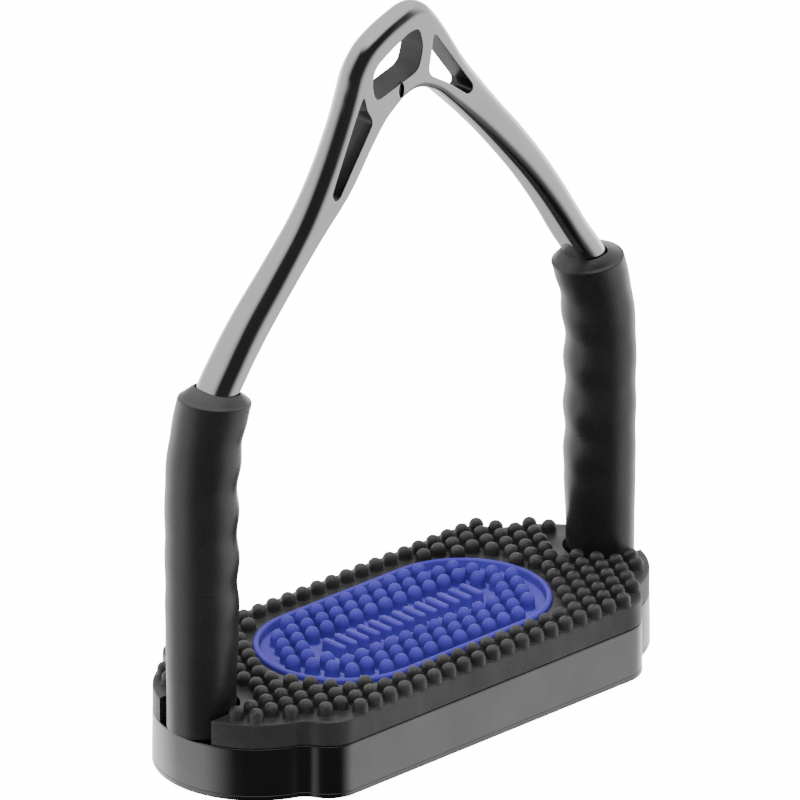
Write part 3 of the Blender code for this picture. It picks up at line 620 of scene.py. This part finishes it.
def lattice(first_row, rows, phase):
    """Stud places; the half nearer the back edge mirrors the shift of the front half."""
    for row in range(rows):
        mirrored = min(row, rows - 1 - row)
        shift = phase - STUD_PITCH / 2.0 * (mirrored % 2)
        for column in range(-LATTICE_COLUMNS, LATTICE_COLUMNS + 1):
            yield column * STUD_PITCH + shift, first_row + row * STUD_ROW


def pad_stud_fits(x, y):
    from_sleeve = hypot(max(BRANCH_X - abs(x), 0.0), y) - NOTCH_RADIUS
    return (depth_in_tread(x, y) > STUD_RADIUS + DRAFT and depth_in_insert(x, y) < -STUD_RADIUS
            and from_sleeve > STUD_RADIUS + PAD_STUD_MARGIN)


def make_pad_body():
    edge = DRAFT + 0.05
    foot = FRAME_TOP + PAD_SEAM
    levels = [(edge + PAD_FOOT_EDGE, foot), (edge, foot + PAD_FOOT_EDGE)]
    levels += rounded_levels(edge, PAD_TOP, PAD_EDGE)
    item = finish_mesh("tread_pad_body", tread_solid(levels), PAD_RUBBER)
    reach = BRANCH_X + NOTCH_REACH
    for side in (-1, 1):
        turn = pi / 2.0 if side > 0 else -pi / 2.0
        outline = arc((side * BRANCH_X, 0.0), SLEEVE_SEAT, turn, turn + pi, 40)
        outline += [(side * reach, -side * SLEEVE_SEAT), (side * reach, side * SLEEVE_SEAT)]
        cut(item, "notch", prism(outline, "Z", 0.0, THROUGH))
    seat = prism(stadium(INSERT_RADIUS + 0.15), "Z", INSERT_LOW[2] - 0.1, THROUGH)
    cut(item, "insert_seat", seat)
    soften_edges(item, 0.3)
    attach(item, "tread")
    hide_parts("tread_pad")
    studs = bmesh.new()
    for x, y in lattice(*PAD_LATTICE):
        if pad_stud_fits(x, y):
            add_stud(studs, x, y, PAD_TOP, PAD_STUD_HEIGHT)
    grip = finish_mesh("tread_pad_studs", studs, PAD_RUBBER, 60.0)
    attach(grip, "tread")


def make_insert_body():
    """Shell with a raised round rim, skinned from outlines that follow its section."""
    shoulder = RIM_TOP - RIM_CROWN
    section = [(0.0, INSERT_LOW[2]), (0.0, shoulder)]
    for i in range(1, 9):
        turn = pi * i / 9
        section.append((INSERT_RIM * 0.5 * (1.0 - cos(turn)), shoulder + RIM_CROWN * sin(turn)))
    section += [(INSERT_RIM, INSERT_FLOOR + 0.35), (INSERT_RIM + 0.12, INSERT_FLOOR + 0.1),
                (INSERT_RIM + 0.4, INSERT_FLOOR)]
    mesh = bmesh.new()
    add_rings(mesh, [[(x, y, z) for x, y in stadium(INSERT_RADIUS - inset)] for inset, z in section])
    item = finish_mesh("pad_insert_body", mesh, BLUE_RUBBER, 50.0)
    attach(item, "tread")
    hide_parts("pad_insert")
    item.visible_glossy = False
    studs = bmesh.new()
    for x, y in lattice(*INSERT_LATTICE):
        in_band = abs(y) < BAND_HALF_WIDTH and abs(x) < BAND_HALF_LENGTH
        if depth_in_insert(x, y) > INSERT_RIM + INSERT_STUD_MARGIN and not in_band:
            add_stud(studs, x, y, INSERT_FLOOR, INSERT_STUD_HEIGHT)
    add_grip_bars(studs)
    grip = finish_mesh("pad_insert_studs", studs, BLUE_RUBBER, 60.0)
    grip.visible_glossy = False
    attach(grip, "tread")


def add_grip_bars(mesh):
    """Plain raised bars across the middle band, rounded on top."""
    pitch = 2.0 * (BAND_HALF_LENGTH - BAR_END_MARGIN) / BAR_COUNT
    for number in range(BAR_COUNT):
        x = (number - (BAR_COUNT - 1) / 2.0) * pitch
        rings = []
        for half, z in BAR_PROFILE:
            outline = arc((x, BAR_REACH), half, 0.0, pi, 10)
            outline += arc((x, -BAR_REACH), half, pi, 2.0 * pi, 10)
            rings.append([(a, b, INSERT_FLOOR + z) for a, b in outline])
        add_rings(mesh, rings)


# ---------- sleeves ----------

def sleeve_axis(height):
    """Where the right sleeve's middle line is, a given length up it, and how far it leans."""
    straight = SLEEVE_BEND_Z - SLEEVE_BOTTOM
    if height <= straight:
        return BRANCH_X, SLEEVE_BOTTOM + height, 0.0
    lean = (height - straight) / SLEEVE_BEND_RADIUS
    return (BRANCH_X - SLEEVE_BEND_RADIUS * (1.0 - cos(lean)),
            SLEEVE_BEND_Z + SLEEVE_BEND_RADIUS * sin(lean), lean)


def sleeve_length():
    return SLEEVE_BEND_Z - SLEEVE_BOTTOM + SLEEVE_BEND * SLEEVE_BEND_RADIUS


def squared(value, power):
    """Sine or cosine of a superellipse: power 2 is round, and more is squarer."""
    return copysign(abs(value) ** (2.0 / power), value)


def clamped(value):
    return min(max(value, 0.0), 1.0)


def wave_at(height):
    """Finger waves, fading out towards both ends of the sleeve, less the waist at its foot."""
    z = SLEEVE_BOTTOM + height
    rise = clamped((z - GRIP_START_Z) / GRIP_RISE)
    fall = clamped((SLEEVE_BOTTOM + sleeve_length() - GRIP_TOP_MARGIN - z) / GRIP_FALL)
    waist = FOOT_WAIST * 0.5 * (1.0 + cos(pi * clamped((z - WAIST_END_Z) / WAIST_FADE)))
    return GRIP_WAVE * rise * fall * cos(2.0 * pi * (z - GRIP_CREST_Z) / GRIP_PITCH) - waist


def sleeve_ring(side, height, radius_x, radius_y, wave=0.0, power=2.0, sides=96):
    x, z, lean = sleeve_axis(height)
    tilt = RING_TILT * lean
    reach = radius_x / cos(lean - tilt)
    ring = []
    for i in range(sides):
        turn = 2.0 * pi * i / sides
        facing = (0.5 * (1.0 + cos(turn))) ** WAVE_SPREAD
        inner_share = OUTER_SIDE_SHARE + (1.0 - OUTER_SIDE_SHARE) * facing
        out = 1.0 + wave * inner_share / radius_x
        a = -reach * out * squared(cos(turn), power)
        b = -radius_y * out * squared(sin(turn), power)
        ring.append((side * (x + a * cos(tilt)), b, z + a * sin(tilt)))
    return ring


def outer_rings(side, start, end):
    steps = max(int((end - start) / 0.7), 2)
    rings = []
    for i in range(steps + 1):
        height = start + (end - start) * i / steps
        rings.append(sleeve_ring(side, height, SLEEVE_RADIUS, SLEEVE_RADIUS, wave_at(height)))
    return rings


def inner_rings(side, start, end):
    steps = max(int((end - start) / 3.0), 2)
    return [sleeve_ring(side, end + (start - end) * i / steps, SLEEVE_BORE, SLEEVE_BORE)
            for i in range(steps + 1)]


def foot_rings(side):
    """The rounded lower edge, from the bottom up."""
    rings = []
    for i in range(5):
        turn = pi / 2.0 * i / 5
        radius = SLEEVE_RADIUS - SLEEVE_ROUNDING * (1.0 - sin(turn))
        height = SLEEVE_ROUNDING * (1.0 - cos(turn))
        rings.append(sleeve_ring(side, height, radius, radius, wave_at(height)))
    return rings


def lid_rings(side):
    """The rounded upper edge, the crowned lid and the lip round the bow's leg."""
    length = sleeve_length()
    rings = []
    for i in range(1, 6):
        turn = pi / 2.0 * i / 5
        radius = SLEEVE_RADIUS - SLEEVE_ROUNDING * (1.0 - cos(turn))
        rings.append(sleeve_ring(side, length - SLEEVE_ROUNDING * (1.0 - sin(turn)), radius, radius))
    for over_end, half_x, half_y, power in LID_RINGS:
        rings.append(sleeve_ring(side, length + over_end, half_x, half_y, 0.0, power))
    return rings


def make_sleeve(side, name):
    """Three closed stretches of one sleeve."""
    length = sleeve_length()
    first_seam = (TILT[2] + LOWER_SWAY[2]) / 2.0 - SLEEVE_BOTTOM
    second_seam = GRIP_CREST_Z - GRIP_PITCH / 2.0 - SLEEVE_BOTTOM
    middle_start = first_seam + SEAM_HAIRLINE
    top_start = second_seam + SEAM_HAIRLINE
    stretches = [
        ("foot", foot_rings(side) + outer_rings(side, SLEEVE_ROUNDING, first_seam)
         + inner_rings(side, 0.0, first_seam)),
        ("middle", outer_rings(side, middle_start, second_seam)
         + inner_rings(side, middle_start, second_seam)),
        ("top", outer_rings(side, top_start, length - SLEEVE_ROUNDING) + lid_rings(side)
         + inner_rings(side, top_start, length - LIP_DEPTH)),
    ]
    knuckle = name + "_knuckle_set"
    link = name + "_link_set"
    below_top = link if side < 0 else "right_bush_set"
    first_z = first_seam + SLEEVE_BOTTOM
    second_z = second_seam + SLEEVE_BOTTOM
    spans = [("tread", knuckle, TILT[2] - BEND_START_BELOW_TILT, first_z - BEND_GAP),
             (knuckle, link, first_z + BEND_GAP, second_z - BEND_END_BELOW_SEAM),
             (below_top, "bow_set", second_z + BEND_START_ABOVE_SEAM,
              SLEEVE_HIGH[2] - BEND_END_BELOW_TOP)]
    for (part, rings), (first, second, low, high) in zip(stretches, spans):
        mesh = bmesh.new()
        add_rings(mesh, rings, closed=True)
        item = finish_mesh("%s_sleeve_%s" % (name, part), mesh, SLEEVE_RUBBER, 60.0)
        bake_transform(item)
        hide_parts(name + "_sleeve")


# ---------- bow ----------

def edge_points(first, last, steps):
    """Points strictly between two corners of a section."""
    return [[a + (b - a) * i / steps for a, b in zip(first, last)] for i in range(1, steps)]


def bow_section(outer, inner, half_thickness, corner):
    """Rounded rectangle across the bow, with its flats divided so that they bend smoothly."""
    mid = [(o + i) / 2.0 for o, i in zip(outer, inner)]
    half = hypot(outer[0] - inner[0], outer[1] - inner[1]) / 2.0
    unit = [(o - m) / half for o, m in zip(outer, mid)]
    corners = []
    for quarter, (along, across) in enumerate(((1, 1), (-1, 1), (-1, -1), (1, -1))):
        start = quarter * pi / 2.0
        wanted = max(corner, OUTER_CORNER) if along > 0 else corner
        round_off = min(wanted, half * CORNER_SHARE, half_thickness * CORNER_SHARE)
        centre = (along * (half - round_off), across * (half_thickness - round_off))
        corners.append(arc(centre, round_off, start, start + pi / 2.0, CORNER_STEPS))
    flat = []
    for quarter, points in enumerate(corners):
        flat += points
        steps = 4 if quarter % 2 else 8
        flat += edge_points(points[-1], corners[(quarter + 1) % 4][0], steps)
    return [(mid[0] + unit[0] * a, b, mid[1] + unit[1] * a) for a, b in flat]


def make_bow_body():
    rows = [(*outer, *inner, half, corner) for outer, inner, half, corner in BOW_STATIONS]
    mesh = bmesh.new()
    curve = spline(rows, BOW_STEPS)
    add_rings(mesh, [bow_section(row[0:2], row[2:4], row[4], row[5]) for row in curve])
    bow = finish_mesh("bow_body", mesh, POLISHED)
    # The openings' walls and the mark's hollow take the near-black metal: painted shade.
    for outline in (LEATHER_SLOT, LEFT_WINDOW, RIGHT_WINDOW):
        cut(bow, "bow_opening", prism(soft_outline(outline), "Y", -BOW_CUT, BOW_CUT), PAINTED_SHADE_WALL)
    oval = [(MARK_CENTRE[0] + MARK_HALF_SIZE[0] * a, MARK_CENTRE[1] + MARK_HALF_SIZE[1] * b)
            for a, b in circle((0.0, 0.0), 1.0, 24)]
    cut(bow, "bow_mark", prism(oval, "Y", -BOW_CUT, MARK_DEPTH - HEAD_HALF_THICKNESS), PAINTED_SHADE_WALL)
    shade(bow, 40.0)
    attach(bow, "bow_set")
    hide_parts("bow")
    make_bow_forks()


def make_bow_forks():
    """Pairs of cheeks under the bow's ends, hidden in the sleeves, that hold the sway pins."""
    mesh = bmesh.new()
    for side in (-1, 1):
        x = side * BRANCH_X
        outline = arc((x, UPPER_SWAY[2]), FORK_HALF_WIDTH, pi, 2.0 * pi, 16)
        outline += [(x + FORK_HALF_WIDTH, FORK_TOP), (x - FORK_HALF_WIDTH, FORK_TOP)]
        for hand in (-1, 1):
            rings = [[(a, hand * y, z) for a, z in outline] for y in FORK_CHEEK]
            add_rings(mesh, rings)
    forks = finish_mesh("bow_forks", mesh, JOINT_STEEL)
    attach(forks, "bow_set")


def soft_outline(points, radius=1.1, steps=5):
    """Outline with each corner turned into a short curve, cut at most a third of a side in."""
    soft = []
    count = len(points)
    for i, point in enumerate(points):
        here = Vector(point)
        before = Vector(points[i - 1])
        after = Vector(points[(i + 1) % count])
        reach = min(radius * 2.0, (before - here).length / 2.05, (after - here).length / 2.05)
        start = here + (before - here).normalized() * reach
        end = here + (after - here).normalized() * reach
        for k in range(steps + 1):
            t = k / steps
            soft.append(tuple(start * (1 - t) ** 2 + here * 2 * t * (1 - t) + end * t ** 2))
    return soft


# ---------- carried-over pieces ----------

def dress_cad_nodes():
    """Materials for the CAD's own meshes, most of which stay in sight only when taken apart."""
    for name, item in frame["nodes"].items():
        steel = "pin" in name or "screw" in name or name == "pad_plate"
        mat = PIN_STEEL if steel else JOINT_STEEL
        if name == "bow":
            mat = POLISHED
        if "sleeve" in name:
            mat = SLEEVE_RUBBER
        for place in item.material_slots:
            place.material = mat


# ---------- studio ----------

def make_floor():
    mesh = bmesh.new()
    bmesh.ops.create_grid(mesh, x_segments=1, y_segments=1, size=FLOOR_HALF_SIDE)
    data = bpy.data.meshes.new("studio_floor")
    mesh.to_mesh(data)
    mesh.free()
    floor = bpy.data.objects.new("studio_floor", data)
    floor.location.z = -FLOOR_DROP
    floor.visible_glossy = False
    bpy.context.collection.objects.link(floor)
    mat, nodes, links, shader = new_material("pale_floor")
    tone = object_noise(nodes, links, 3.0)
    pale = colour_between(nodes, links, tone.outputs["Fac"], (0.78, 0.78, 0.78), (0.8, 0.8, 0.8))
    links.new(pale, shader.inputs["Base Color"])
    shader.inputs["Roughness"].default_value = 0.9
    shader.inputs["Specular IOR Level"].default_value = 0.1
    shader.inputs["Emission Color"].default_value = (1.0, 1.0, 1.0, 1.0)
    path = nodes.new("ShaderNodeLightPath")
    links.new(spread(nodes, links, path.outputs["Is Camera Ray"], *FLOOR_GLOW, 0.0, 1.0),
              shader.inputs["Emission Strength"])
    data.materials.append(mat)


def add_area(name, place, size, power):
    light = bpy.data.lights.new(name, "AREA")
    light.shape = "RECTANGLE"
    light.size = size[0]
    light.size_y = size[1]
    light.energy = power
    lamp = bpy.data.objects.new(name, light)
    lamp.location = place
    lamp.rotation_euler = (Vector(LIGHT_TARGET) - Vector(place)).to_track_quat("-Z", "Y").to_euler()
    lamp.visible_glossy = False
    bpy.context.collection.objects.link(lamp)


def grey_ramp(nodes, links, source, stops):
    """Greys over a value, scaled to fit a ramp and multiplied back afterwards."""
    brightest = max(grey for position, grey in stops)
    ramp = nodes.new("ShaderNodeValToRGB")
    elements = ramp.color_ramp.elements
    while len(elements) < len(stops):
        elements.new(0.5)
    for element, (position, grey) in zip(elements, stops):
        element.position = position
        element.color = (grey / brightest, grey / brightest, grey / brightest, 1.0)
    links.new(source, ramp.inputs["Fac"])
    scale = nodes.new("ShaderNodeVectorMath")
    scale.operation = "SCALE"
    scale.inputs["Scale"].default_value = brightest
    links.new(ramp.outputs["Color"], scale.inputs[0])
    return scale.outputs["Vector"]


def mix_colours(nodes, links, factor, first, second):
    mix = nodes.new("ShaderNodeMix")
    mix.data_type = "RGBA"
    links.new(factor, mix.inputs[0])
    for value, socket in ((first, mix.inputs[6]), (second, mix.inputs[7])):
        if isinstance(value, tuple):
            socket.default_value = value
        else:
            links.new(value, socket)
    return mix.outputs[2]


def make_world():
    """Even light for all but reflections, which see a dark wall on the studio's front side."""
    world = bpy.data.worlds.new("studio")
    bpy.context.scene.world = world
    world.use_nodes = True
    world.cycles.sampling_method = "NONE"
    nodes = world.node_tree.nodes
    links = world.node_tree.links
    place = nodes.new("ShaderNodeTexCoord")
    flat = nodes.new("ShaderNodeVectorMath")
    flat.operation = "MULTIPLY"
    flat.inputs[1].default_value = (1.0, 1.0, 0.0)
    links.new(place.outputs["Generated"], flat.inputs[0])
    unit = nodes.new("ShaderNodeVectorMath")
    unit.operation = "NORMALIZE"
    links.new(flat.outputs["Vector"], unit.inputs[0])
    facing = nodes.new("ShaderNodeVectorMath")
    facing.operation = "DOT_PRODUCT"
    wall = radians(WALL_AZIMUTH)
    facing.inputs[1].default_value = (cos(wall), sin(wall), 0.0)
    links.new(unit.outputs["Vector"], facing.inputs[0])
    towards = spread(nodes, links, facing.outputs["Value"], 0.0, 1.0, -1.0, 1.0)
    low = grey_ramp(nodes, links, towards, LOW_GREYS)
    high = grey_ramp(nodes, links, towards, HIGH_GREYS)
    split = nodes.new("ShaderNodeSeparateXYZ")
    links.new(place.outputs["Generated"], split.inputs["Vector"])
    above = spread(nodes, links, split.outputs["Z"], 0.0, 1.0, *HIGH_BAND)
    sides = mix_colours(nodes, links, above, low, high)
    shadow = nodes.new("ShaderNodeVectorMath")
    shadow.operation = "SCALE"
    links.new(sides, shadow.inputs[0])
    links.new(spread(nodes, links, split.outputs["Z"], STEEP_SHARE, 1.0, *STEEP_BAND),
              shadow.inputs["Scale"])
    overhead = spread(nodes, links, split.outputs["Z"], 0.0, 1.0, *OVERHEAD_BAND)
    mirror = mix_colours(nodes, links, overhead, shadow.outputs["Vector"], OVERHEAD)
    path = nodes.new("ShaderNodeLightPath")
    sky = mix_colours(nodes, links, path.outputs["Is Glossy Ray"], AMBIENT, mirror)
    links.new(sky, nodes["Background"].inputs["Color"])


def make_camera():
    """A long lens on the left front, looking a little down."""
    azimuth = radians(CAMERA_AZIMUTH)
    elevation = radians(CAMERA_ELEVATION)
    back = Vector((sin(azimuth) * cos(elevation), -cos(azimuth) * cos(elevation), sin(elevation)))
    aim = Vector((0.0, 0.0, CAMERA_AIM_Z))
    data = bpy.data.cameras.new("camera")
    data.sensor_width = SENSOR
    data.lens = SENSOR * PIXELS_PER_METRE * CAMERA_DISTANCE / IMAGE_SIDE
    data.shift_x = SHIFT_PIXELS[0] / IMAGE_SIDE
    data.shift_y = SHIFT_PIXELS[1] / IMAGE_SIDE
    data.clip_end = 50.0
    camera = bpy.data.objects.new("camera", data)
    camera.location = aim + back * CAMERA_DISTANCE
    camera.rotation_euler = (-back).to_track_quat("-Z", "Y").to_euler()
    bpy.context.collection.objects.link(camera)
    bpy.context.scene.camera = camera


def make_lights():
    for name, place, size, power in LIGHTS:
        add_area(name, place, size, power)


dress_cad_nodes()
make_frame_body()
make_base_body()
make_pad_body()
make_insert_body()
for branch_side, branch_name in ((-1, "left"), (1, "right")):
    make_sleeve(branch_side, branch_name)
make_bow_body()
make_floor()
make_lights()
make_world()
make_camera()
